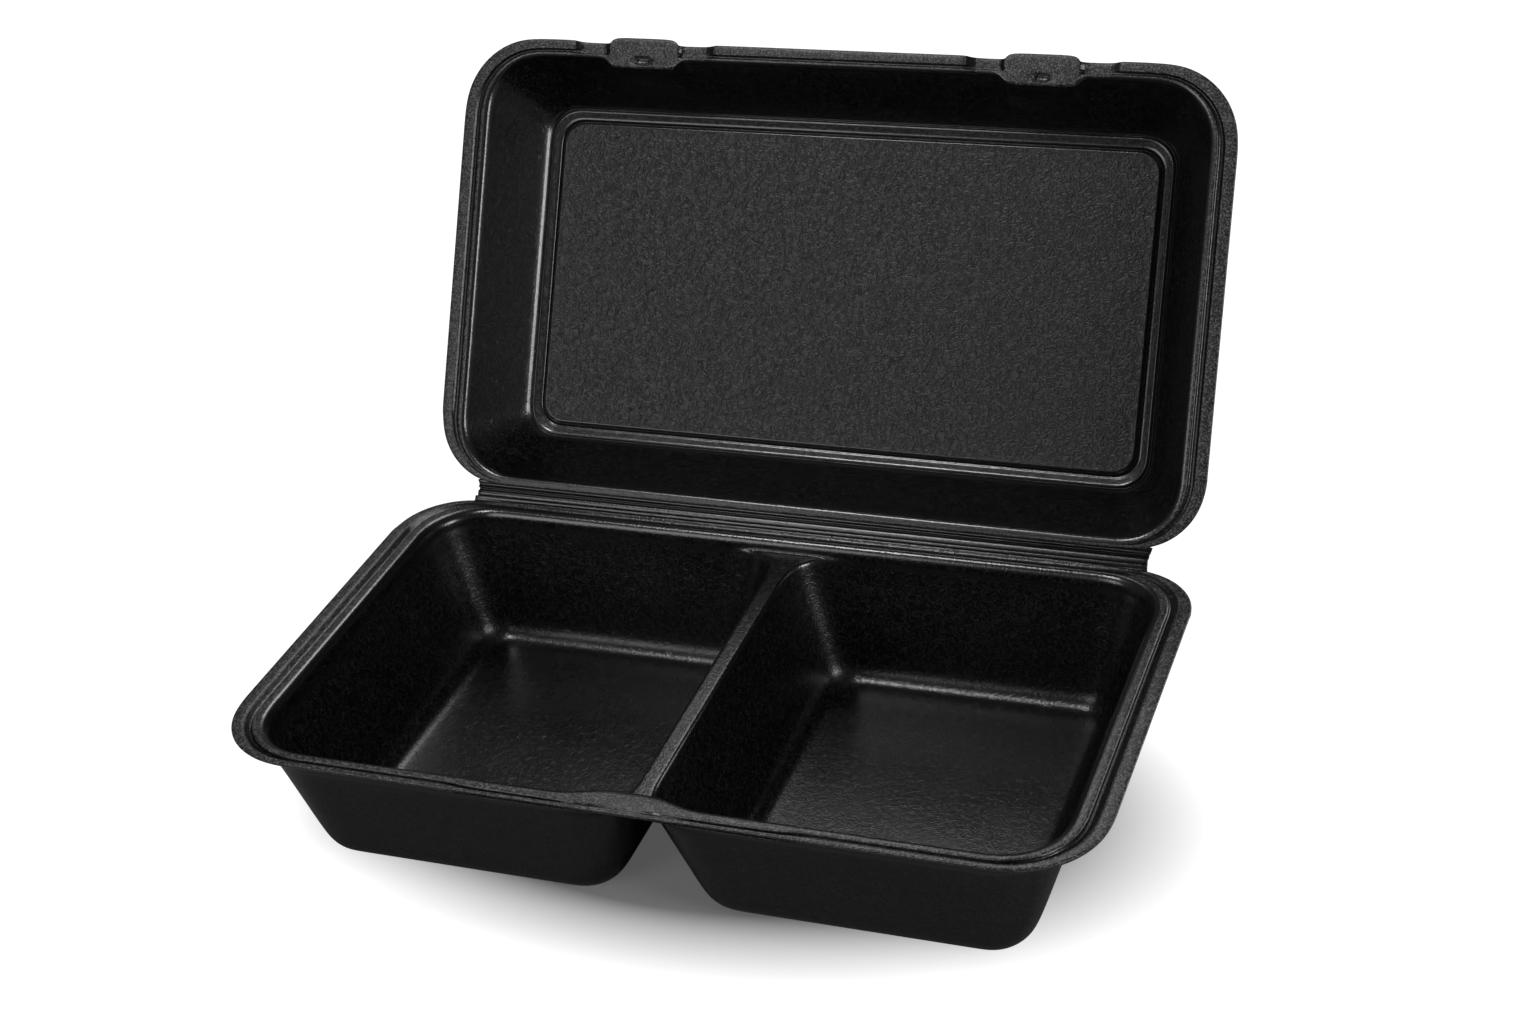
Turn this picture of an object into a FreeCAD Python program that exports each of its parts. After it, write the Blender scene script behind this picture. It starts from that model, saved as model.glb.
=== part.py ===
import FreeCAD, Part
import math
import os

# Two-compartment clamshell food container, pressed from one sheet of black foam.
# Lengths in millimetres, +Z up. Everything is built with the origin on the floor
# below the middle of the tray, and moved at the end so that the origin is on the
# floor in the middle of the open container's footprint.

# sheet, a little thinner in the lid, so that the open container stands firmly on its tray
sheet = 1.6
lidSheet = 1.4
webThickness = 0.8

# tray, outline and height
trayWidth = 240.0
trayDepth = 137.4
trayHeight = 41.3
trayFrontRadius = 24.0
trayBackRadius = 20.0

# tray, rim and the hollow below it; a taper is what a wall leans in over its height
sideRim = 10.0
frontRim = 6.1
backRim = 5.6
mouthRadius = 17.0
sideTaper = 13.1
frontTaper = 9.5
backTaper = 9.0
floorRadius = 9.0
floorFillet = 4.5
mouthFillet = 1.5

# divider between the two compartments
dividerTop = 5.0
dividerDrop = 4.4
dividerTaper = 11.0
dividerRadius = 12.0
ridgeFillet = 1.4

# channel pressed into the tray's rim, with a long outer slope and a steep inner side
channelDepth = 1.2
channelSide = 3.5
channelFront = 1.8
channelBack = 0.9
sideSlope = 2.2
endSlope = 1.0
channelFloor = 0.6

# platform in the middle of the front rim, above the end of the divider
platformWidth = 15.0
platformReach = 3.6
platformRamp = 10.5

# hinge strip, half on the tray and half on the lid, with the crease between
stripLength = 208.0
stripReach = 2.85
creaseGap = 0.12
closedGap = 0.3
lidAngle = 61.0

# lid, outline and depth
lidSideInset = 2.35
lidFrontInset = 2.2
lidFrontRadius = 22.0
lidBackRadius = 20.0
lidSideRim = 7.6
lidFrontRim = 5.0
lidBackRim = 2.4
lidMouthRadius = 16.0
lidDepth = 21.8
lidSideTaper = 12.6
lidEndTaper = 13.2
lidFloorRadius = 9.0
lidFillet = 3.5
lidMouthFillet = 1.0

# panel pressed back into the lid's floor
panelRise = 1.2
panelBorder = 2.4
panelRadius = 7.0

# groove pressed into the lid's rim, ending before the hinge
grooveDepth = 0.8
grooveSide = 3.7
grooveSideWidth = 1.7
grooveFront = 3.0
grooveFrontWidth = 0.9
grooveStart = 14.0

# closing tabs on the lid's front edge, each in a pressed recess
tabWidth = 22.0
tabSpread = 121.0
tabReach = 1.2
tabRadius = 2.8
tabBulge = 2.5
tabRibDepth = 5.0
recessWidth = 43.0
recessDepth = 0.7
recessRamp = 1.4
dimpleDepth = 0.8
dimpleWidth = 5.2
dimpleHeight = 3.0
dimpleSetback = 4.0

# levels and places that follow from the sizes above
rimUnder = trayHeight - sheet
dividerLevel = trayHeight - dividerDrop
creaseY = trayDepth / 2 + stripReach
creaseZ = trayHeight + closedGap / 2
lidTop = -closedGap / 2
lidUnder = lidTop - lidSheet
lidFloor = lidTop - lidDepth
lidWidth = trayWidth - 2 * lidSideInset
lidEnd = stripReach + trayDepth - lidFrontInset


def vec(x, y, z):
    return FreeCAD.Vector(x, y, z)


def ends(front, back):
    """Corner radii of a rounded rectangle that is the same on its left and right."""
    return (front, back, back, front)


def grow(box, by):
    return (box[0] - by, box[1] + by, box[2] - by, box[3] + by)


def inside(box, side, front, back):
    """Box that lies within another by its own distance at the sides, front and back."""
    return (box[0] + side, box[1] - side, box[2] + front, box[3] - back)


def mix(start, end, share):
    return tuple(a + (b - a) * share for a, b in zip(start, end))


def roundRect(box, radii, z):
    """Wire round a box (x0, x1, y0, y1), from the front right corner counter-clockwise."""
    x0, x1, y0, y1 = box
    signs = [(1, -1), (1, 1), (-1, 1), (-1, -1)]
    arcs = []
    for index, (side, end) in enumerate(signs):
        radius = radii[index]
        cx = (x1 if side > 0 else x0) - side * radius
        cy = (y1 if end > 0 else y0) - end * radius
        turns = [math.radians(-90 + 90 * index + part) for part in (0, 45, 90)]
        arcs.append([vec(cx + radius * math.cos(t), cy + radius * math.sin(t), z) for t in turns])
    edges = []
    for index, points in enumerate(arcs):
        edges.append(Part.Arc(*points).toShape())
        edges.append(Part.makeLine(points[2], arcs[(index + 1) % 4][0]))
    return Part.Wire(edges)


def slab(box, radii, z0, z1):
    return Part.Face(roundRect(box, radii, z0)).extrude(vec(0, 0, z1 - z0))


def loft(low, high):
    return Part.makeLoft([low, high], True, True)


def prism(points, z0, z1):
    corners = [vec(x, y, z0) for x, y in points]
    return Part.Face(Part.makePolygon(corners + corners[:1])).extrude(vec(0, 0, z1 - z0))


def edgesAt(shape, z, limits):
    """Edges that lie wholly at one level and within a box."""
    found = []
    for edge in shape.Edges:
        box = edge.BoundBox
        level = abs(box.ZMin - z) < 1e-4 and abs(box.ZMax - z) < 1e-4
        fitsAcross = box.XMin > limits[0] and box.XMax < limits[1]
        fitsAlong = box.YMin > limits[2] and box.YMax < limits[3]
        if level and fitsAcross and fitsAlong:
            found.append(edge)
    return found


def roundBottom(shape, z, radius):
    everywhere = (-trayWidth, trayWidth, -trayWidth, trayWidth)
    return shape.makeFillet(radius, edgesAt(shape, z, everywhere))


# tray

trayBox = (-trayWidth / 2, trayWidth / 2, -trayDepth / 2, trayDepth / 2)
mouthBox = inside(trayBox, sideRim, frontRim, backRim)
floorBox = inside(mouthBox, sideTaper, frontTaper, backTaper)


def wallShare(z):
    """How far down the wall a level is: 0 at the rim, 1 at the inside floor."""
    return (trayHeight - z) / (trayHeight - sheet)


def compartmentWire(side, z, by):
    """Inside of one compartment at a level, grown by a wall; side is -1 or 1."""
    outer = grow(mix(mouthBox, floorBox, wallShare(z)), by)
    near = dividerTop / 2 + dividerTaper * (dividerLevel - z) / (dividerLevel - sheet) - by
    corner = mouthRadius + (floorRadius - mouthRadius) * wallShare(z) + by
    nearCorner = dividerRadius + (floorRadius - dividerRadius) * wallShare(z) + by
    if side > 0:
        return roundRect((near,) + outer[1:], (corner, corner, nearCorner, nearCorner), z)
    return roundRect((outer[0], -near) + outer[2:], (nearCorner, nearCorner, corner, corner), z)


def compartment(side, by, bottom, top):
    body = loft(compartmentWire(side, bottom, by), compartmentWire(side, top, by))
    return roundBottom(body, bottom, floorFillet + by)


def mouthWire(z, by):
    corner = mouthRadius + (floorRadius - mouthRadius) * wallShare(z) + by
    return roundRect(grow(mix(mouthBox, floorBox, wallShare(z)), by), ends(corner, corner), z)


def channel(level, wall):
    """The channel's ring below a level; wall widens it into the bump on the underside."""
    edge = inside(trayBox, channelSide, channelFront, channelBack)
    deep = inside(edge, sideSlope, endSlope, endSlope)
    front = trayFrontRadius - channelSide
    back = trayBackRadius - channelSide
    bottom = level - channelDepth
    low = roundRect(grow(deep, wall), ends(front, back), bottom)
    high = roundRect(grow(edge, wall), ends(front, back), level)
    island = grow(deep, -channelFloor - wall)
    return loft(low, high).cut(slab(island, ends(front, back), bottom - 1, level + 1))


def platform(inset, z0, z1):
    """Trapezoid that widens the front rim inward."""
    half = platformWidth / 2 - inset
    y = mouthBox[2]
    foot = half + platformRamp
    reach = y + platformReach - inset
    points = [(-foot, y), (-foot, y - frontRim / 2), (foot, y - frontRim / 2), (foot, y)]
    points += [(half, reach), (-half, reach)]
    return prism(points, z0, z1)


def roundRims(shell):
    """Rounds the mouth's edge and both edges of the divider's top."""
    shell = shell.makeFillet(mouthFillet, edgesAt(shell, trayHeight, grow(mouthBox, 0.01)))
    ridge = (-40, 40, mouthBox[2] + 1, mouthBox[3] - 1)
    return shell.makeFillet(ridgeFillet, edgesAt(shell, dividerLevel, ridge))


def trayStrip():
    root = trayDepth / 2 - channelBack / 2
    size = (stripLength, creaseY - creaseGap - root, webThickness)
    return Part.makeBox(*size, vec(-stripLength / 2, root, trayHeight - webThickness))


def baseTray():
    shell = slab(trayBox, ends(trayFrontRadius, trayBackRadius), rimUnder, trayHeight).fuse(trayStrip())
    for side in (-1, 1):
        shell = shell.fuse(compartment(side, sheet, 0, rimUnder))
    shell = shell.fuse(loft(mouthWire(dividerLevel - sheet, sheet), mouthWire(trayHeight, sheet)))
    shell = shell.fuse(channel(rimUnder, sheet / 3))
    for side in (-1, 1):
        shell = shell.cut(compartment(side, 0, sheet, dividerLevel))
    shell = shell.cut(loft(mouthWire(dividerLevel, 0), mouthWire(trayHeight + 1, 0)))
    shell = roundRims(shell)
    shell = shell.fuse(platform(0, dividerLevel - sheet, trayHeight))
    shell = shell.cut(channel(trayHeight, 0))
    return shell.removeSplitter()


# lid, built lying flat behind the crease with its hollow up, and the crease at the origin

lidBox = (-lidWidth / 2, lidWidth / 2, stripReach, lidEnd)
lidMouth = inside(lidBox, lidSideRim, lidBackRim, lidFrontRim)
lidFloorBox = inside(lidMouth, lidSideTaper, lidEndTaper, lidEndTaper)


def lidWire(z, by):
    share = (lidTop - z) / lidDepth
    corner = lidMouthRadius + (lidFloorRadius - lidMouthRadius) * share + by
    return roundRect(grow(mix(lidMouth, lidFloorBox, share), by), ends(corner, corner), z)


def lidHollow(by, bottom, top):
    return roundBottom(loft(lidWire(bottom, by), lidWire(top, by)), bottom, lidFillet + by)


def panel(by, z0, z1):
    radius = panelRadius + by
    return slab(grow(lidFloorBox, -panelBorder + by), ends(radius, radius), z0, z1)


def groove(level, wall):
    sides = (lidBox[0] + grooveSide, lidBox[1] - grooveSide, 0, lidBox[3] - grooveFront)
    inner = (sides[0] + grooveSideWidth, sides[1] - grooveSideWidth, 0, sides[3] - grooveFrontWidth)
    corner = lidFrontRadius - grooveSide
    z0 = level - grooveDepth
    ring = slab(grow(sides, wall), ends(corner, corner), z0, level)
    ring = ring.cut(slab(grow(inner, -wall), ends(corner - 1, corner - 1), z0 - 1, level + 1))
    return ring.common(Part.makeBox(lidWidth, lidEnd, 4, vec(-lidWidth / 2, grooveStart, level - 2)))


def tabPlate(x):
    root = lidEnd - 2 * tabRadius - 1
    box = (x - tabWidth / 2, x + tabWidth / 2, root, lidEnd + tabReach)
    return slab(box, ends(tabRadius, tabRadius), lidUnder, lidTop)


def tabRib(x):
    """Lump under a tab, from the rim down to where it meets the sloping wall."""
    half = tabWidth / 2 - 1
    y = lidMouth[3] + lidSheet / 2
    reach = lidMouth[3] - tabBulge
    top = [(x - half - tabBulge, y), (x - half, reach), (x + half, reach), (x + half + tabBulge, y)]
    lean = lidEndTaper * tabRibDepth / lidDepth
    front = min(reach, lidMouth[3] - lean)
    low = [(px, py - lean if py > reach else front) for px, py in top]
    wires = []
    for points, z in ((low, lidTop - tabRibDepth), (top, lidTop)):
        corners = [vec(px, py, z) for px, py in points]
        wires.append(Part.makePolygon(corners + corners[:1]))
    return loft(*wires)


def recess(x, level, wall):
    """Shallow pressed field on both sides of a tab, from the rim's edge to the groove."""
    pieces = []
    for side in (-1, 1):
        near = x + side * (tabWidth / 2 + recessRamp - wall)
        far = x + side * (recessWidth / 2 + wall)
        y0 = lidEnd - grooveFront - wall
        points = [(near, y0), (far, y0), (far, lidEnd + 1), (near, lidEnd + 1)]
        pieces.append(prism(points, level - recessDepth, level))
    return pieces


def dimple(x, level, wall):
    """Half-round dimple with its flat side toward the hollow."""
    radius = dimpleWidth / 2 + wall
    y = lidEnd + tabReach - dimpleSetback - dimpleHeight
    z = level - dimpleDepth
    straight = dimpleHeight - dimpleWidth / 2
    disc = Part.makeCylinder(radius, dimpleDepth, vec(x, y + straight, z))
    foot = Part.makeBox(2 * radius, straight + wall, dimpleDepth, vec(x - radius, y - wall, z))
    keep = Part.makeBox(2 * radius, dimpleHeight + 2 * wall, dimpleDepth, vec(x - radius, y - wall, z))
    return disc.fuse(foot).common(keep)


def lidStrip():
    size = (stripLength, stripReach + 1 - creaseGap, webThickness)
    return Part.makeBox(*size, vec(-stripLength / 2, creaseGap, lidTop - webThickness))


def lidShell():
    shell = slab(lidBox, ends(lidBackRadius, lidFrontRadius), lidUnder, lidTop)
    shell = shell.fuse(lidHollow(lidSheet, lidFloor - lidSheet, lidUnder))
    shell = shell.fuse(groove(lidUnder, lidSheet / 3))
    shell = shell.cut(lidHollow(0, lidFloor, lidTop + 1))
    shell = shell.makeFillet(lidMouthFillet, edgesAt(shell, lidTop, grow(lidMouth, 0.01)))
    shell = shell.cut(groove(lidTop, 0)).fuse(panel(0, lidFloor - lidSheet / 2, lidFloor + panelRise))
    return shell.cut(panel(-lidSheet, lidFloor - lidSheet - 1, lidFloor - lidSheet + panelRise))


def lid():
    shell = lidShell().fuse(lidStrip())
    outline = slab(lidBox, ends(lidBackRadius, lidFrontRadius), lidUnder - 2, lidTop)
    for side in (-1, 1):
        x = side * tabSpread / 2
        shell = shell.fuse(tabPlate(x)).fuse(tabRib(x))
        for low, high in zip(recess(x, lidUnder, 0.3), recess(x, lidTop, 0)):
            shell = shell.fuse(low.common(outline)).cut(high)
        shell = shell.fuse(dimple(x, lidUnder, lidSheet / 2)).cut(dimple(x, lidTop, 0))
    shell = shell.removeSplitter()
    shell.rotate(vec(0, 0, 0), vec(1, 0, 0), lidAngle)
    shell.translate(vec(0, creaseY, creaseZ))
    return shell


def placeOnFloor(shapes):
    """Moves all pieces so that the origin is in the middle of the footprint."""
    front = min(min(point.y for point in shape.tessellate(0.1)[0]) for shape in shapes.values())
    back = max(max(point.y for point in shape.tessellate(0.1)[0]) for shape in shapes.values())
    for shape in shapes.values():
        shape.translate(vec(0, -(front + back) / 2, 0))


pieces = {"base_tray": baseTray(), "lid": lid()}
placeOnFloor(pieces)
os.makedirs("parts", exist_ok=True)
for name, shape in pieces.items():
    if not shape.isValid() or len(shape.Solids) != 1:
        raise ValueError(name + " isn't one sound solid")
    shape.exportStep("parts/" + name + ".step")
    print(name, round(shape.Volume), shape.BoundBox)
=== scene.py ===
import bpy
import bmesh
from math import sin, cos, radians, pi
from mathutils import Matrix, Vector


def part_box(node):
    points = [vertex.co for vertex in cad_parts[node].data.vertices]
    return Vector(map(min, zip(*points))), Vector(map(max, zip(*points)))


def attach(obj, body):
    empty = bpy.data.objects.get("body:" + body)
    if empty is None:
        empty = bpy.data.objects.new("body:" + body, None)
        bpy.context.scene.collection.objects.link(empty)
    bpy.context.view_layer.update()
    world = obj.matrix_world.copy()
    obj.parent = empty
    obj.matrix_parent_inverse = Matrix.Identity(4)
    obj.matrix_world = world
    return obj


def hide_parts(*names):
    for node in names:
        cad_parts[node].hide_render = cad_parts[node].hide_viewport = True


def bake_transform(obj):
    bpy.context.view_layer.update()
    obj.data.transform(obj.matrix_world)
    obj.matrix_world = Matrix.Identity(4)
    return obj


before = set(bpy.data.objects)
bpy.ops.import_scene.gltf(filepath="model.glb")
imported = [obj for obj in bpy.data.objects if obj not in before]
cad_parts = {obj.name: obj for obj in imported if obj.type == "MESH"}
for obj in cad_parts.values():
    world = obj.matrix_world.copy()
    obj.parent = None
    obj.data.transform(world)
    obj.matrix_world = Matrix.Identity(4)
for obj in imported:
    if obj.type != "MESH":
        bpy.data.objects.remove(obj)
print("frame loaded")
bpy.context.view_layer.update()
mm = 0.001

# all sizes in millimetres; depths are measured down from the rim
tray = {"width": 240.0, "depth": 137.4, "height": 41.3, "sheet": 1.6, "split": 14.17, "straightEnd": 92.43,
        "mouthLevel": 4.4, "mouthFront": 62.6, "mouthBand": 1.3,
        "floorFillet": 5.5, "filletShare": 0.8, "floorInset": 4,
        "dividerTop": 4.5, "dividerSlope": 0.8, "dividerHalf": 2.5, "dividerSpread": 11.0, "dividerFall": 35.3,
        "dividerRow": 1.15, "platformHalf": 7.25, "platformRamp": 10.75, "platformReach": 3.6,
        "channelEnd": 18.0, "channelFade": 9, "stepAt": 44.5, "stepHalf": 1.5, "stepShift": 0.9,
        "cornerDrop": 0.45, "paintedShadeBack": 4.4, "paintedShadeHalf": 102}
# where the tray's middle and the hinge's crease are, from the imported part
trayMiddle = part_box("base_tray")[0][1] / mm + tray["depth"] / 2
crease = {"y": trayMiddle + tray["depth"] / 2 + 2.85, "z": tray["height"] + 0.15, "angle": 61.0}
mergeReach = 0.02 * mm  # vertices nearer than this are one


def spread(start, end, shares):
    return [start + (end - start) * share for share in shares]


def ease(value, low, high):
    share = min(max((value - low) / (high - low), 0), 1)
    return share * share * (3 - 2 * share)


def arc(cx, cy, radius, first, segments):
    turns = [radians(first + 90 * step / segments) for step in range(segments + 1)]
    return [(cx + radius * cos(turn), cy + radius * sin(turn)) for turn in turns]


def startChain(bm, points, closed=False):
    chain = [bm.verts.new(Vector(point) * mm) for point in points]
    for first, second in zip(chain, chain[1:] + (chain[:1] if closed else [])):
        if first != second:
            bm.edges.new((first, second))
    return chain


def chainEdges(bm, chain, closed=False):
    pairs = zip(chain, chain[1:] + (chain[:1] if closed else []))
    return [bm.edges.get(pair) for pair in pairs if bm.edges.get(pair)]


def pull(bm, chain, points, material=0, closed=False):
    # extrudes a chain of edges and lays its new vertices on the next line of points
    made = bmesh.ops.extrude_edge_only(bm, edges=chainEdges(bm, chain, closed))["geom"]
    fresh = {part for part in made if isinstance(part, bmesh.types.BMVert)}
    for face in (part for part in made if isinstance(part, bmesh.types.BMFace)):
        face.material_index = material
        face.smooth = True
    after = []
    for vert, point in zip(chain, points):
        twin = next(edge.other_vert(vert) for edge in vert.link_edges if edge.other_vert(vert) in fresh)
        twin.co = Vector(point) * mm
        after.append(twin)
    return after


def closeHalf(bm):
    # mirrors the right half to the left and points every face upward
    bmesh.ops.mirror(bm, geom=bm.verts[:] + bm.edges[:] + bm.faces[:], axis="X", merge_dist=mergeReach)
    bmesh.ops.remove_doubles(bm, verts=bm.verts, dist=mergeReach)
    bmesh.ops.recalc_face_normals(bm, faces=bm.faces)
    if sum(face.normal.z * face.calc_area() for face in bm.faces) < 0:
        bmesh.ops.reverse_faces(bm, faces=bm.faces)
    for face in bm.faces:
        face.smooth = True


def finishSheet(name, bm, thickness, materials, levels=2):
    mesh = bpy.data.meshes.new(name)
    bm.to_mesh(mesh)
    bm.free()
    piece = bpy.data.objects.new(name, mesh)
    bpy.context.scene.collection.objects.link(piece)
    for material in materials:
        mesh.materials.append(material)
    wall = piece.modifiers.new("Sheet", "SOLIDIFY")
    wall.thickness = thickness * mm
    wall.offset = -1
    wall.use_quality_normals = True
    smooth = piece.modifiers.new("Smooth", "SUBSURF")
    smooth.levels = smooth.render_levels = levels
    return piece


def fromHex(code):
    parts = [int(code[at:at + 2], 16) / 255 for at in (1, 3, 5)]
    return [part / 12.92 if part <= 0.04045 else ((part + 0.055) / 1.055) ** 2.4 for part in parts] + [1.0]


def addNode(tree, kind, settings=None, **links):
    node = tree.nodes.new(kind)
    for key, value in (settings or {}).items():
        if key in node.inputs:
            node.inputs[key].default_value = value
        else:
            setattr(node, key, value)
    for socket, source in links.items():
        tree.links.new(source, node.inputs[socket.replace("_", " ")])
    return node


# black polystyrene foam in four finishes: curl and speckle are shares of the light tint, widths and heights in mm
foamLooks = {
    # foam sheet with a smooth pressed skin: near black, with soft glints on its bends
    "pressedFoamSkin": {"dark": "#020202", "light": "#28282a", "roughness": 0.27, "specular": 0.33,
                        "curl": 0.5, "speckle": 0.12, "grainWidth": 0.6, "grainHeight": 0.009,
                        "stippleHeight": 0.006},
    # the rims, squeezed hard between the two halves of the mould: greyer, with small burst cells whose light-grey
    # speckle paints sheen and sparkle on them
    "squeezedFoamRimWithPaintedSheen": {"dark": "#0b0b0c", "light": "#6e6e71", "roughness": 0.4, "specular": 0.35,
                        "curl": 0.0, "speckle": 0.75, "grainWidth": 1.0, "grainHeight": 0.004,
                        "stippleHeight": 0.02},
    # the lid's panel and the band round it, which keep the mould's fine worm-like grain
    "grainedFoamPanel": {"dark": "#020203", "light": "#3a3a3c", "roughness": 0.41, "specular": 0.33,
                         "curl": 0.5, "speckle": 0.3, "grainWidth": 0.6, "grainHeight": 0.04,
                         "stippleHeight": 0.012},
    # sharp bends, where the skin is stretched tight and shines in a thin bright line
    "stretchedFoamBend": {"dark": "#060606", "light": "#222223", "roughness": 0.24, "specular": 0.58,
                          "curl": 0.1, "speckle": 0.3, "grainWidth": 0.85, "grainHeight": 0.006,
                          "stippleHeight": 0.005},
}
foamPattern = {"index": 1.59, "waveGrains": 3.2, "bands": 4, "cell": 0.5, "cloud": 16,
               "smoother": 0.015, "duller": 0.02}


def foam(name):
    look = foamLooks[name]
    material = bpy.data.materials.new(name)
    material.use_nodes = True
    tree = material.node_tree
    shader = tree.nodes["Principled BSDF"]
    shader.inputs["IOR"].default_value = foamPattern["index"]  # polystyrene
    shader.inputs["Specular IOR Level"].default_value = look["specular"]
    place = addNode(tree, "ShaderNodeTexCoord").outputs["Object"]
    # worms: a wide noise cut into bands leaves wandering ridges, a grain width wide
    wave = foamPattern["waveGrains"] * look["grainWidth"] * mm
    wide = addNode(tree, "ShaderNodeTexNoise", {"Scale": 1 / wave, "Detail": 0.6,
                                                "Roughness": 0.5, "Distortion": 0.9}, Vector=place)
    bands = addNode(tree, "ShaderNodeMath", {"operation": "MULTIPLY"}, Value=wide.outputs["Fac"])
    bands.inputs[1].default_value = 2 * pi * foamPattern["bands"]
    worms = addNode(tree, "ShaderNodeMath", {"operation": "SINE"}, Value=bands.outputs["Value"])
    curl = addNode(tree, "ShaderNodeMapRange", {"From Min": 0.3, "From Max": 1.0, "To Max": look["curl"]},
                   Value=worms.outputs["Value"])
    # stipple of burst cells, drawn 0.5 mm across so that it shows; on the rims its light-grey speckle is painted sheen
    cells = addNode(tree, "ShaderNodeTexNoise", {"Scale": 1 / (foamPattern["cell"] * mm), "Detail": 1.0}, Vector=place)
    speckle = addNode(tree, "ShaderNodeMapRange", {"From Min": 0.45, "From Max": 0.7, "To Max": look["speckle"]},
                      Value=cells.outputs["Fac"])
    share = addNode(tree, "ShaderNodeMath", {"operation": "ADD"}, Value=curl.outputs["Result"])
    tree.links.new(speckle.outputs["Result"], share.inputs[1])
    tint = addNode(tree, "ShaderNodeMix", {"data_type": "RGBA"}, Factor=share.outputs["Value"])
    tint.inputs[6].default_value = fromHex(look["dark"])
    tint.inputs[7].default_value = fromHex(look["light"])
    tree.links.new(tint.outputs[2], shader.inputs["Base Color"])
    # the skin is a little duller in places 16 mm across
    cloud = addNode(tree, "ShaderNodeTexNoise", {"Scale": 1 / (foamPattern["cloud"] * mm), "Detail": 3.0}, Vector=place)
    rough = addNode(tree, "ShaderNodeMapRange", {"From Min": 0.3, "From Max": 0.7,
                                                 "To Min": look["roughness"] - foamPattern["smoother"],
                                                 "To Max": look["roughness"] + foamPattern["duller"]},
                    Value=cloud.outputs["Fac"])
    tree.links.new(rough.outputs["Result"], shader.inputs["Roughness"])
    grain = addNode(tree, "ShaderNodeBump", {"Strength": 1.0, "Distance": look["grainHeight"] * mm},
                    Height=worms.outputs["Value"])
    pits = addNode(tree, "ShaderNodeBump", {"Strength": 1.0, "Distance": look["stippleHeight"] * mm},
                   Height=cells.outputs["Fac"], Normal=grain.outputs["Normal"])
    tree.links.new(pits.outputs["Normal"], shader.inputs["Normal"])
    return material


finishes = [foam(name) for name in foamLooks]  # in the order of the numbers 0 to 3 used below
print("materials made")

# the tray is made as the right half of the sheet's upper side, from the rim's edge inward and down
# each line round the rim: inset at the side, front and back, depth, front and back corner radius,
# and the finish of the faces outside it
trayRim = [
    (0.0, 0.0, 0.0, 0.35, 24.0, 20.0, 1),
    (0.45, 0.45, 0.45, 0.0, 23.6, 19.7, 1),
    (3.3, 1.5, 0.55, 0.0, 22.2, 18.8, 1),
    (3.9, 1.85, 0.85, 0.15, 21.7, 18.4, 1),
    (5.6, 2.75, 1.6, 1.15, 20.6, 17.8, 0),
    (6.15, 3.05, 2.6, 1.2, 20.2, 17.4, 0),
    (6.45, 3.3, 3.1, 0.15, 20.0, 17.3, 0),
    (6.95, 3.7, 3.5, 0.0, 19.6, 17.2, 1),
    (8.6, 4.8, 4.4, 0.0, 17.6, 17.1, 1),
    (9.6, 5.6, 5.15, 0.25, 17.3, 17.0, 3),
    (10.3, 6.25, 5.8, 0.85, 17.0, 16.9, 3),
    (11.0, 6.8, 6.35, 1.9, 16.8, 16.7, 3),
]
trayShares = [0.05, 0.2, 0.33, 0.385, 0.43, 0.5, 0.65, 0.82, 0.94]
backShares = [0.1, 0.3, 0.5, 0.7, 0.9]
sideShares = [0.06, 0.25, 0.5, 0.75, 0.94, 0.985]
nearShares = [0.08, 0.3, 0.5, 0.7, 0.92]


# the compartment's walls at the rim, and how far each moves by the floor
compartment = {"far": (110, -13.1), "front": (-62.6, 9.5), "back": (63.1, -9.0),
               "corner": (17, -8), "nearCorner": (12, -3)}


def dividerDepth(y):
    return tray["dividerTop"] - tray["dividerSlope"] * y / tray["mouthFront"]


def wallAt(depth):
    share = depth / (tray["height"] - tray["sheet"])
    wall = {key: top + change * share for key, (top, change) in compartment.items()}
    wall["near"] = tray["dividerHalf"] + tray["dividerSpread"] * (depth - tray["mouthLevel"]) / tray["dividerFall"]
    return wall


def rimLine(side, front, back, depth, frontCorner, backCorner):
    half, low, high = tray["width"] / 2 - side, -tray["depth"] / 2 + front, tray["depth"] / 2 - back
    split, end = tray["split"], tray["straightEnd"]
    columns = [0, tray["platformHalf"], split]
    points = []
    for x in columns + spread(split, end, trayShares):
        lift = 1 - ease(abs(x), tray["platformHalf"], tray["platformHalf"] + tray["platformRamp"])
        y, z = low, -depth
        if side > 8:  # the band inside the channel widens into the platform
            y += tray["platformReach"] * lift
        if 2.0 < side < 6.9:  # the channel ends beside the platform
            z *= 1 - ease(tray["channelEnd"] - x, 0, tray["channelFade"])
        if 2 < side < 7:  # from there to stepAt the channel lies a little further out
            beyond = ease(x, tray["stepAt"] - tray["stepHalf"], tray["stepAt"] + tray["stepHalf"])
            y -= tray["stepShift"] * (1 - beyond) * ease(side, 2.0, 5.0)
        points.append((x, y, z))
    drop = tray["cornerDrop"] if side < 4 else 0.0
    points += [(x, y, -depth) for x, y in arc(half - frontCorner, low + frontCorner, frontCorner, -90, 6)]
    points += [(half, y, -depth) for y in spread(low + frontCorner, high - backCorner, sideShares)]
    points += [(x, y, -depth - drop) for x, y in arc(half - backCorner, high - backCorner, backCorner, 0, 6)]
    points += [(x, high, -depth) for x in reversed(columns + spread(split, end, backShares))]
    return points


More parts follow.
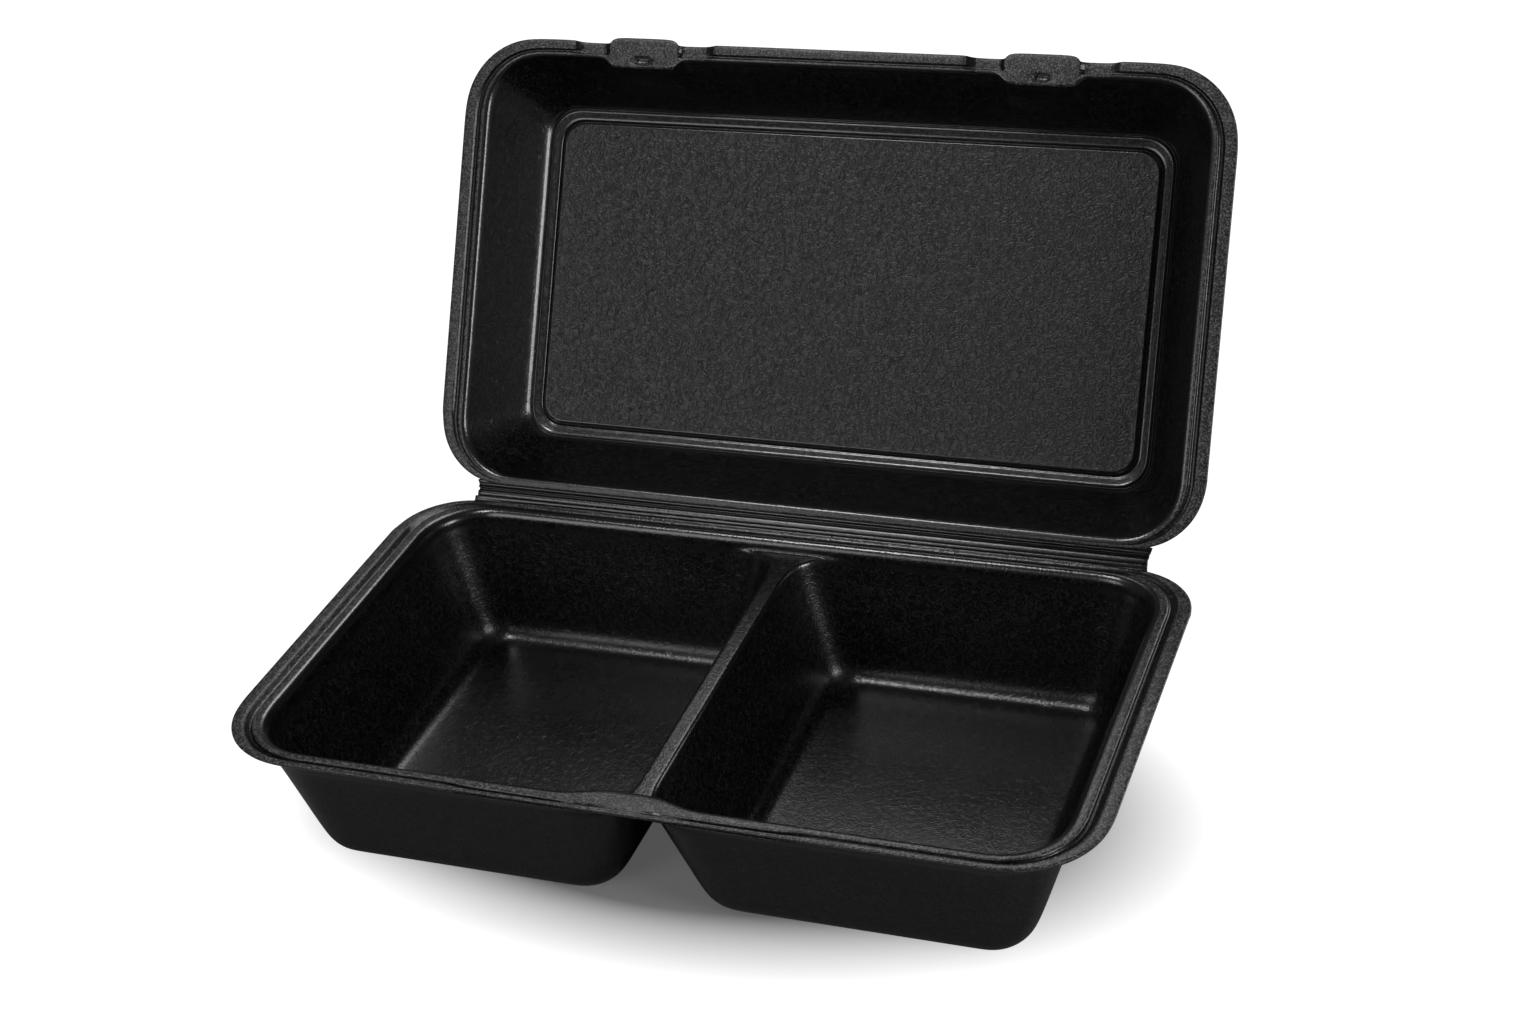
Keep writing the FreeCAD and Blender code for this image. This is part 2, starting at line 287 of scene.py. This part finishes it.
def wallLine(depth, inset=0.0):
    # one compartment's loop, from the divider's front end round the outside and back along the divider
    wall = wallAt(depth)
    far, front, back = wall["far"] - inset, wall["front"] + inset, wall["back"] - inset
    near = wall["near"] + inset
    corner, nearCorner = max(wall["corner"] - inset, 4.0), max(wall["nearCorner"] - inset, 4.0)
    start, end = near + nearCorner, far - corner
    flat = [(start, front)] + [(x, front) for x in spread(start, end, trayShares)]
    flat += arc(far - corner, front + corner, corner, -90, 6)
    flat += [(far, y) for y in spread(front + corner, back - corner, sideShares)]
    flat += arc(far - corner, back - corner, corner, 0, 6)
    flat += [(x, back) for x in reversed(spread(start, end, backShares))] + [(start, back)]
    flat += arc(near + nearCorner, back - nearCorner, nearCorner, 90, 4)[1:]
    flat += [(near, y) for y in spread(back - nearCorner, front + nearCorner, nearShares)]
    flat += arc(near + nearCorner, front + nearCorner, nearCorner, 180, 4)[:-1]
    return flat


def buildTray():
    bm = bmesh.new()
    chain = startChain(bm, rimLine(*trayRim[0][:6]))
    for line in trayRim[1:]:
        chain = pull(bm, chain, rimLine(*line[:6]), line[6])
    # the mouth's lowest line, level with the divider
    level = tray["mouthLevel"]
    wall = wallAt(level)
    frontInset, backInset = wall["front"] + tray["depth"] / 2, tray["depth"] / 2 - wall["back"]
    mouth = rimLine(tray["width"] / 2 - wall["far"], frontInset, backInset, 0, wall["corner"], wall["corner"])
    mouth = [(x, y, -dividerDepth(y)) for x, y, z in mouth]
    chain = pull(bm, chain, mouth, 0)
    # divider's top, pulled from the back end to the front in rows of three
    nearSide = wallLine(level)[-(4 + len(nearShares) + 4):]
    row = [chain[-1], chain[-2], chain[-3]]
    frontRow = chain[:3]
    nearChain = []
    for index, (x, y) in enumerate(nearSide):
        fromFront = len(nearSide) - index
        middle = max(y, mouth[0][1] + tray["dividerRow"] * fromFront)
        between = (middle + y) / 2 if fromFront < 5 else y
        z = -dividerDepth(y)
        row = pull(bm, row, [(0, middle, z), (x / 2, between, z), (x, y, z)], 0)
        nearChain.append(row[2])
    row = pull(bm, row, [vert.co / mm for vert in frontRow], 0)
    bmesh.ops.remove_doubles(bm, verts=row + frontRow, dist=mergeReach)
    bm.verts.ensure_lookup_table()
    # the compartment's walls and floor
    outer = [vert for vert in chain[2:len(chain) - 2] if vert.is_valid]
    first = next(vert for vert in bm.verts if (vert.co - Vector(mouth[2]) * mm).length < 1.5 * mergeReach)
    loop = [first] + [vert for vert in outer if vert != first] + nearChain
    low = tray["height"] - tray["sheet"]
    fillet = tray["floorFillet"]
    lines = [[(x, y, -dividerDepth(y) - tray["mouthBand"]) for x, y in wallLine(level + tray["mouthBand"])]]
    lines += [[(x, y, -depth) for x, y in wallLine(depth)] for depth in (9.5, 18.0, 27.0, low - fillet)]
    for turn in (30, 60, 90):
        depth = low - fillet + fillet * sin(radians(turn))
        inset = fillet * (1 - cos(radians(turn))) * tray["filletShare"]
        lines.append([(x, y, -depth) for x, y in wallLine(depth, inset)])
    lines.append([(x, y, -low) for x, y in wallLine(low, fillet + tray["floorInset"])])
    for index, points in enumerate(lines):
        loop = pull(bm, loop, points, 0 if index else 3, closed=True)
    bmesh.ops.contextual_create(bm, geom=chainEdges(bm, loop, closed=True))
    closeHalf(bm)
    # between the hinge and the mouth the rim gets the near-black skin, which paints the shade of the back channel
    for face in bm.faces:
        x, y, z = face.calc_center_median() / mm
        if y > tray["depth"] / 2 - tray["paintedShadeBack"] and abs(x) < tray["paintedShadeHalf"]:
            face.material_index = 0
    bmesh.ops.translate(bm, verts=bm.verts, vec=Vector((0, trayMiddle, tray["height"])) * mm)
    return finishSheet("tray_shell", bm, tray["sheet"], finishes)


trayShell = buildTray()
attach(trayShell, "base_tray")
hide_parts("base_tray")
print("tray made")

# the lid is made as the right half of the sheet's hollow side, lying flat with the crease at the origin
lid = {"half": 117.65, "start": 2.85, "end": 138.05, "sheet": 1.4, "depth": 21.8, "footFillet": 1.5,
       "tabAt": 60.5, "tabHalf": 11.0, "tabReach": 1.2, "tabRadius": 2.4, "tabBulge": 2.6,
       "recessHalf": 21.5, "recessEase": 0.9, "recessDepth": 1.1, "recessNotch": 0.5,
       "dimpleAt": 132.4, "dimpleHalf": (2.8, 1.2), "dimpleDepth": 1.0, "dimpleBevel": 0.4,
       "cornerDrop": 0.45, "closedGap": 0.15}
# inset at the side, hinge and front, depth, front and hinge corner radius, finish of the faces outside it
lidRim = [
    (0.0, 0.0, 0.0, 0.35, 22.0, 20.0, 1),
    (0.5, 0.5, 0.45, 0.0, 21.6, 19.6, 1),
    (3.0, 0.75, 2.5, 0.0, 20.4, 18.9, 1),
    (3.7, 1.0, 2.95, 0.0, 19.8, 18.6, 1),
    (4.0, 1.2, 3.2, 0.75, 19.5, 18.4, 0),
    (5.3, 1.4, 3.7, 0.85, 18.6, 18.0, 0),
    (5.6, 1.6, 3.95, 0.1, 18.3, 17.8, 0),
    (6.0, 1.8, 4.2, 0.0, 18.0, 17.6, 1),
    (6.6, 1.95, 4.35, 0.0, 17.0, 16.6, 1),
    (7.3, 2.45, 4.8, 0.15, 16.6, 16.4, 3),
    (7.9, 2.9, 5.2, 0.5, 16.3, 16.1, 3),
    (8.6, 3.4, 5.8, 1.6, 16.0, 15.9, 3),
]
# x of the lines that cross the front rim, close together where the tab and its recesses begin and end
lidColumns = [0, 12, 25, 36.6, 38.4, 40.2, 47.0, 48.3, 49.4, 49.65, 50.4, 52.4, 57.7, 60.5,
              63.3, 68.6, 70.6, 71.35, 71.6, 72.7, 74.0, 80.8, 82.6, 84.4]
# depth, how far in from the wall's line and finish of the wall's foot, the ledge, the groove and the raised panel
lidFoot = [
    (20.0, 0.2, 0), (20.1, 0.55, 3), (20.9, 1.05, 3), (20.9, 1.3, 0), (20.1, 1.75, 3),
    (20.2, 2.15, 3), (21.1, 4.0, 2), (20.95, 4.4, 3), (21.9, 4.95, 3), (21.9, 5.2, 0),
    (20.55, 5.6, 3), (20.4, 6.0, 3), (20.6, 6.8, 2), (20.65, 9.0, 2),
]


# how far in the hollow's walls stand at the rim, and how much more by the floor
lidHollow = {"side": (7.6, 12.6), "hinge": (2.4, 13.2), "front": (5.0, 13.2), "corner": (16, -7)}


def lidLine(side, hinge, front, depth, frontCorner, backCorner):
    half, low, high = lid["half"] - side, lid["start"] + hinge, lid["end"] - front
    points = []
    for x in lidColumns:
        away = abs(x - lid["tabAt"])
        inside = lid["tabHalf"] - away
        tab = 1 if inside > 0 else 0
        within = 1 - ease(away, lid["recessHalf"] - lid["recessEase"], lid["recessHalf"] + lid["recessEase"])
        field = ease(-inside, 0.1, 1.0) * within
        notch = ease(-inside, -0.1, 0.1) * within
        v, n = high, -depth
        if side < 2:
            v -= notch * lid["recessNotch"]
            if tab:
                corner = max(lid["tabRadius"] - inside, 0)
                v += lid["tabReach"] - (lid["tabRadius"] - (lid["tabRadius"] ** 2 - corner ** 2) ** 0.5)
        if 0.2 < side < 5.9:
            n = -depth * (1 - tab) * (1 - field)
        if side < 5.9:
            n -= field * lid["recessDepth"]
        if side > 6.5:
            bulge = 1 - ease(away, lid["tabHalf"] - 1.8, lid["tabHalf"] + 2.6)
            v -= bulge * lid["tabBulge"] * (1 - ease(depth, 3, 14))
        points.append((x, v, n))
    drop = lid["cornerDrop"] if side < 3.9 else 0.0
    turn = reversed(arc(half - frontCorner, high - frontCorner, frontCorner, 0, 6))
    points += [(x, v, -depth) for x, v in turn]
    points += [(half, v, -depth) for v in spread(high - frontCorner, low + backCorner, sideShares)]
    # the hinge side has no groove
    plain = depth if side < 0.2 or side > 7 else 0.0
    corner = list(reversed(arc(half - backCorner, low + backCorner, backCorner, -90, 6)))
    for index, (x, v) in enumerate(corner):
        lower = depth + (plain - depth) * ease(index, 1, 5)
        points.append((x, v, -lower - drop * (1 - ease(index, 4, 6))))
    points += [(x, low, -plain) for x in spread(half - backCorner, 0, [0.1, 0.3, 0.5, 0.7, 0.85, 1.0])]
    return points


def lidWall(depth, inset=0.0):
    share = depth / lid["depth"]
    side, hinge, front, corner = (top + change * share for top, change in lidHollow.values())
    corner = max(corner - inset * 0.6, 3.0)
    return lidLine(side + inset, hinge + inset, front + inset, depth, corner, corner)


def buildLid():
    bm = bmesh.new()
    chain = startChain(bm, lidLine(*lidRim[0][:6]))
    for line in lidRim[1:]:
        chain = pull(bm, chain, lidLine(*line[:6]), line[6])
    for depth in (3.2, 8.0, 14.0, 18.2):
        chain = pull(bm, chain, lidWall(depth), 0)
    for depth, inset, finish in lidFoot:
        base = lidWall(lid["depth"] - lid["footFillet"], inset)
        chain = pull(bm, chain, [(x, v, -depth) for x, v, n in base], finish)
    wide, deep = lid["dimpleHalf"]
    dimple = [face for face in bm.faces if abs(face.calc_center_median().x / mm - lid["tabAt"]) < wide
              and abs(face.calc_center_median().y / mm - lid["dimpleAt"]) < deep]
    bmesh.ops.inset_region(bm, faces=dimple, thickness=lid["dimpleBevel"] * mm, use_even_offset=True)
    pressed = list({vert for face in dimple for vert in face.verts})
    bmesh.ops.translate(bm, verts=pressed, vec=Vector((0, 0, -lid["dimpleDepth"])) * mm)
    # tabs and recesses are squeezed flat, so the rim's finish covers them, all but the dimple; at their steps the
    # near-black skin paints shade lines
    for face in bm.faces:
        x, v, n = face.calc_center_median() / mm
        away = abs(x - lid["tabAt"])
        if away < lid["recessHalf"] and v > 133.4 or away < lid["tabHalf"] - 1 and v > 130.4:
            step = min(abs(away - lid["tabHalf"] - 0.6), abs(away - lid["recessHalf"]))
            face.material_index = 0 if step < 0.7 else 1
    # the dimple keeps the skin, whose near-black paints the shade in its hollow and whose gloss gives its lip a glint
    for face in dimple:
        face.material_index = 0
    middle = bm.edges.new((chain[-1], chain[0]))
    panel = bmesh.ops.contextual_create(bm, geom=chainEdges(bm, chain) + [middle])["faces"]
    for face in panel:
        face.material_index = 2
    closeHalf(bm)
    bmesh.ops.translate(bm, verts=bm.verts, vec=Vector((0, 0, -lid["closedGap"])) * mm)
    opened = Matrix.Rotation(radians(crease["angle"]), 3, "X")
    bmesh.ops.rotate(bm, verts=bm.verts, cent=(0, 0, 0), matrix=opened)
    bmesh.ops.translate(bm, verts=bm.verts, vec=Vector((0, crease["y"], crease["z"])) * mm)
    return finishSheet("lid_shell", bm, lid["sheet"], finishes)


lidShell = buildLid()
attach(lidShell, "lid")
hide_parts("lid")
print("lid made")

# the hinge web is a strip of pressed beads along the crease, bent to the lid's angle
web = {"half": 104.2, "sheet": 0.7, "hollow": 1.0, "flare": 3.9}
# distance from the crease, toward the tray or up the lid, and height above the sheet
trayProfile = [(3.9, -0.85), (3.0, -0.9), (2.6, -1.2), (2.15, -1.2), (1.9, -0.1), (1.5, 0.15),
               (1.1, -0.1), (0.85, -1.0), (0.55, -1.0)]
lidProfile = [(0.5, 0.2), (0.85, 0.1), (1.05, -1.0), (1.4, -1.0), (1.6, 0.0), (1.95, 0.05),
              (2.25, -1.1), (2.8, -1.1), (3.1, -0.85), (4.1, -0.75)]


def buildWeb():
    up = radians(crease["angle"])
    gap = lid["closedGap"]
    line = [(-u, h - gap) for u, h in trayProfile] + [(-0.2, 0.25), (0.1, 0.35)]
    line += [(v * cos(up) - (h - gap) * sin(up), v * sin(up) + (h - gap) * cos(up)) for v, h in lidProfile]
    reach = [abs(u) for u, h in trayProfile] + [0.2, 0.1] + [v for v, h in lidProfile]
    bm = bmesh.new()
    stations = [-1.0, -0.985, -0.5, 0.0, 0.5, 0.985, 1.0]

    def station(share):
        end = [web["half"] - web["hollow"] * (1 - min(far / web["flare"], 1) ** 2) for far in reach]
        return [(share * edge, crease["y"] + y, crease["z"] + z) for edge, (y, z) in zip(end, line)]
    chain = startChain(bm, station(stations[0]))
    for share in stations[1:]:
        chain = pull(bm, chain, station(share), 3)
    bmesh.ops.recalc_face_normals(bm, faces=bm.faces)
    if sum(face.normal.z * face.calc_area() for face in bm.faces) < 0:
        bmesh.ops.reverse_faces(bm, faces=bm.faces)
    piece = finishSheet("hinge_web", bm, web["sheet"], finishes)
    shown = piece.evaluated_get(bpy.context.evaluated_depsgraph_get())
    final = bpy.data.meshes.new_from_object(shown)
    piece.modifiers.clear()
    piece.data = final
    return piece


hingeWeb = buildWeb()
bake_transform(hingeWeb)
print("hinge web made")

# a white paper floor whose glow fades from the value around to a lower value under the container within an oval, a
# painted shadow, 1 at the shadow's half sizes
studio = {"floor": "#848484", "paintedShadowGlow": 0.08, "glowAround": 0.97, "sky": 0.1,
          "shadowHalf": (125, 75), "shadowFrom": 0.72, "shadowTo": 1.08, "lampTarget": (0, 0, 0.06)}
# round softboxes: place, size in metres, power in watts
lamps = {"backlight": ((-0.2, 0.6, 0.8), 0.35, 1.9),
         "topFront": ((-0.25, -0.34, 0.87), 0.2, 2.5),
         "frontLeft": ((-0.42, -0.8, 0.36), 0.45, 1.6),
         "rightFill": ((0.9, -0.35, 0.42), 0.4, 4.2),
         "behind": ((0.8, 1.0, 0.3), 0.7, 5.0)}


def buildFloor():
    bm = bmesh.new()
    bmesh.ops.create_grid(bm, x_segments=1, y_segments=1, size=4.0)
    mesh = bpy.data.meshes.new("studio_floor")
    bm.to_mesh(mesh)
    bm.free()
    floor = bpy.data.objects.new("studio_floor", mesh)
    bpy.context.scene.collection.objects.link(floor)
    material = bpy.data.materials.new("paperSweep")
    material.use_nodes = True
    tree = material.node_tree
    shader = tree.nodes["Principled BSDF"]
    shader.inputs["Base Color"].default_value = fromHex(studio["floor"])
    shader.inputs["Roughness"].default_value = 0.9
    # the paper glows white for the camera alone; under the container the glow dims to a painted shadow, and the real
    # shadow shows there too
    place = addNode(tree, "ShaderNodeTexCoord").outputs["Object"]
    wide, deep = studio["shadowHalf"]
    paintedShadowSpot = addNode(tree, "ShaderNodeMapping", {"Location": (0, -trayMiddle / deep, 0),
                                               "Scale": (1 / (wide * mm), 1 / (deep * mm), 1)}, Vector=place)
    away = addNode(tree, "ShaderNodeVectorMath", {"operation": "LENGTH"}, Vector=paintedShadowSpot.outputs["Vector"])
    glowWithPaintedShadow = addNode(tree, "ShaderNodeMapRange", {"From Min": studio["shadowFrom"], "From Max": studio["shadowTo"],
                                                   "To Min": studio["paintedShadowGlow"], "To Max": studio["glowAround"]},
                      Value=away.outputs["Value"])
    rays = addNode(tree, "ShaderNodeLightPath")
    glow = addNode(tree, "ShaderNodeEmission", {"Color": (1, 1, 1, 1)})
    amount = addNode(tree, "ShaderNodeMath", {"operation": "MULTIPLY"}, Value=rays.outputs["Is Camera Ray"])
    tree.links.new(glowWithPaintedShadow.outputs["Result"], amount.inputs[1])
    tree.links.new(amount.outputs["Value"], glow.inputs["Strength"])
    both = addNode(tree, "ShaderNodeAddShader")
    tree.links.new(shader.outputs[0], both.inputs[0])
    tree.links.new(glow.outputs[0], both.inputs[1])
    tree.links.new(both.outputs[0], tree.nodes["Material Output"].inputs["Surface"])
    mesh.materials.append(material)


def buildSky():
    world = bpy.data.worlds.new("studio")
    bpy.context.scene.world = world
    world.use_nodes = True
    tree = world.node_tree
    back = tree.nodes["Background"]
    back.inputs["Color"].default_value = (1, 1, 1, 1)
    rays = addNode(tree, "ShaderNodeLightPath")
    amount = addNode(tree, "ShaderNodeMapRange", {"To Min": studio["sky"], "To Max": 1.0},
                     Value=rays.outputs["Is Camera Ray"])
    tree.links.new(amount.outputs["Result"], back.inputs["Strength"])


def addLamp(name, place, target, size, power):
    light = bpy.data.lights.new(name, "AREA")
    light.shape = "DISK"
    light.size = size
    light.energy = power
    lamp = bpy.data.objects.new(name, light)
    bpy.context.scene.collection.objects.link(lamp)
    lamp.location = place
    lamp.rotation_euler = (Vector(target) - Vector(place)).to_track_quat("-Z", "Y").to_euler()


# lens in mm, angles in degrees, distance and shifts in mm from the middle of the tray's rim
view = {"lens": 59.73, "azimuth": 22.248, "elevation": 30.323, "roll": -5.8,
        "distance": 685.332, "shiftRight": 14.928, "shiftUp": 40.073}


def addCamera():
    turn, lift, roll = (radians(view[key]) for key in ("azimuth", "elevation", "roll"))
    back = Vector((sin(turn) * cos(lift), -cos(turn) * cos(lift), sin(lift)))
    right = Vector((0, 0, 1)).cross(back).normalized()
    above = back.cross(right)
    sideways = right * cos(roll) + above * sin(roll)
    upward = above * cos(roll) - right * sin(roll)
    place = sideways * view["shiftRight"] + upward * view["shiftUp"] + back * view["distance"]
    place += Vector((0, trayMiddle, tray["height"]))
    camera = bpy.data.objects.new("camera", bpy.data.cameras.new("camera"))
    camera.data.lens = view["lens"]
    camera.data.sensor_width = 36
    camera.data.clip_start = 0.05
    bpy.context.scene.collection.objects.link(camera)
    axes = Matrix((sideways, upward, back)).transposed().to_4x4()
    camera.matrix_world = Matrix.Translation(place * mm) @ axes
    bpy.context.scene.camera = camera


buildFloor()
buildSky()
for name, (place, size, power) in lamps.items():
    addLamp(name, place, studio["lampTarget"], size, power)
addCamera()
bpy.context.scene.view_settings.view_transform = "Standard"
print("studio made")
